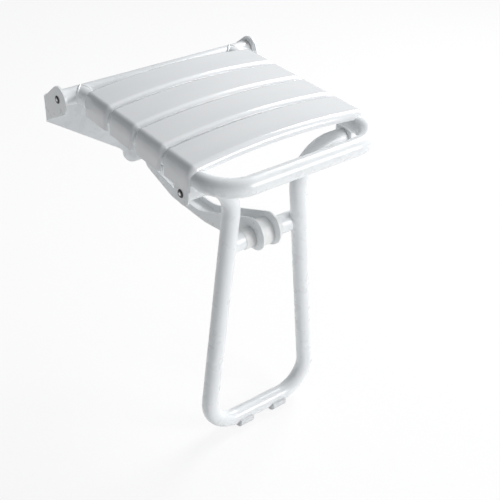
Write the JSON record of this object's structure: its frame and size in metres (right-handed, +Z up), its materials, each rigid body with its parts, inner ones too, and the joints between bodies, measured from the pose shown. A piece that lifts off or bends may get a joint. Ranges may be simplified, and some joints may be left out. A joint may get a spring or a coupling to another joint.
{
  "type": "fold down wall seat",
  "caption": "Fold down wall seat: crowned white slats on a round tube frame, hinged to a wall plate, with a tubular drop leg kept upright by a channel link.",
  "frame": {"origin": "on the wall surface, midway between the two upper fixing slots", "axes": "+Z up, +X to the right when facing the wall, the seat reaches out along -Y; modelled unfolded with the leg on the floor at Z = -0.458 m"},
  "size_m": [0.3364, 0.4005, 0.51],
  "materials": {
    "white_coat": "smooth semi-gloss powder coat",
    "slat_plastic": "glossy moulded plastic",
    "white_nylon": "satin moulded nylon",
    "steel": "plain zinc plated",
    "black_nylon": "satin",
    "grey_rubber": "matt"
  },
  "bodies": {
    "wall_bracket": {"wall_plate": "white_coat", "link_yoke": "white_coat", "link_pin": "steel", "link_pin_washer": "steel", "hinge_left_pin": "steel", "hinge_right_pin": "steel", "hinge_left_ring": "black_nylon", "hinge_right_ring": "black_nylon"},
    "seat": {"hinge_tube": "white_coat", "hinge_plug_left": "white_nylon", "hinge_plug_right": "white_nylon", "seat_frame": "white_coat", "slat_1": "slat_plastic", "slat_2": "slat_plastic", "slat_3": "slat_plastic", "slat_4": "slat_plastic", "slat_1_screw_left": "steel", "slat_1_screw_right": "steel", "slat_2_screw_left": "steel", "slat_2_screw_right": "steel", "slat_3_screw_left": "steel", "slat_3_screw_right": "steel", "slat_4_screw_left": "steel", "slat_4_screw_right": "steel", "leg_lug_left": "white_coat", "leg_lug_right": "white_coat", "leg_left_pin": "steel", "leg_right_pin": "steel", "leg_left_ring": "black_nylon", "leg_right_ring": "black_nylon"},
    "leg": {"leg_frame": "white_coat", "leg_bush_left": "white_nylon", "leg_bush_right": "white_nylon", "crossbar": "white_coat", "collar_left": "white_nylon", "collar_right": "white_nylon", "foot_left": "grey_rubber", "foot_right": "grey_rubber"},
    "link": {"link_arm": "white_coat", "link_sleeve": "white_nylon", "link_hub": "white_nylon"}
  },
  "joints": [
    {"name": "seat_fold", "type": "hinge", "parent": "wall_bracket", "child": "seat", "pos_m": [0, -0.048, 0.024], "axis": [-1, 0, 0], "range_deg": [0, 90]},
    {"name": "leg_fold", "type": "hinge", "parent": "seat", "child": "leg", "pos_m": [0, -0.3105, -0.0086], "axis": [-1, 0, 0], "range_deg": [-90, 0]},
    {"name": "link_swing", "type": "hinge", "parent": "wall_bracket", "child": "link", "pos_m": [0, -0.037, -0.0915], "axis": [-1, 0, 0], "range_deg": [0, 90]}
  ],
  "couplings": [
    {"joint": "leg_fold", "follows": "seat_fold", "ratio": -1},
    {"joint": "link_swing", "follows": "seat_fold", "ratio": 1}
  ]
}
